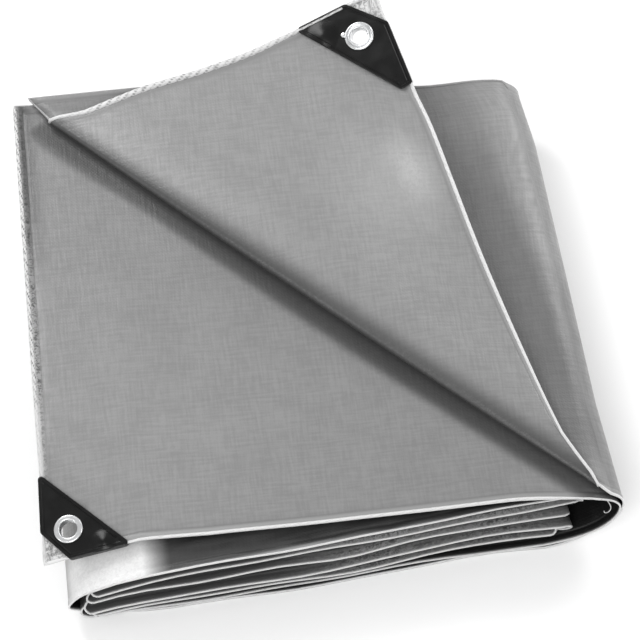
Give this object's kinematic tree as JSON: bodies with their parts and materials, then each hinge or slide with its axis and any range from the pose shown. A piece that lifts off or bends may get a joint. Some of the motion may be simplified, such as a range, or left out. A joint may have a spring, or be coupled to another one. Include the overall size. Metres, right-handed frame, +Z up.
{
  "type": "folded tarp",
  "caption": "Heavy-duty tarp folded into a square packet, top corner turned back, with plastic corner patches and metal eyelets.",
  "frame": {"origin": "middle of the part's box at the height of the surface it lies on", "axes": "+Z up through the layers, +X from the open left edge towards the outer fold, +Y from the front edges of the layers to the back"},
  "size_m": [0.5005, 0.5501, 0.1316],
  "materials": {
    "tarp_cloth": "grey laminated woven polyethylene with silver-grey roped hems",
    "corner_patch": "black moulded plastic, satin",
    "eyelet_metal": "bright pressed aluminium"
  },
  "bodies": {
    "root": {"tarp_sheet": "tarp_cloth", "front_corner_patch": "corner_patch", "flap_corner_patch": "corner_patch", "front_eyelet": "eyelet_metal", "flap_eyelet": "eyelet_metal"}
  },
  "joints": []
}
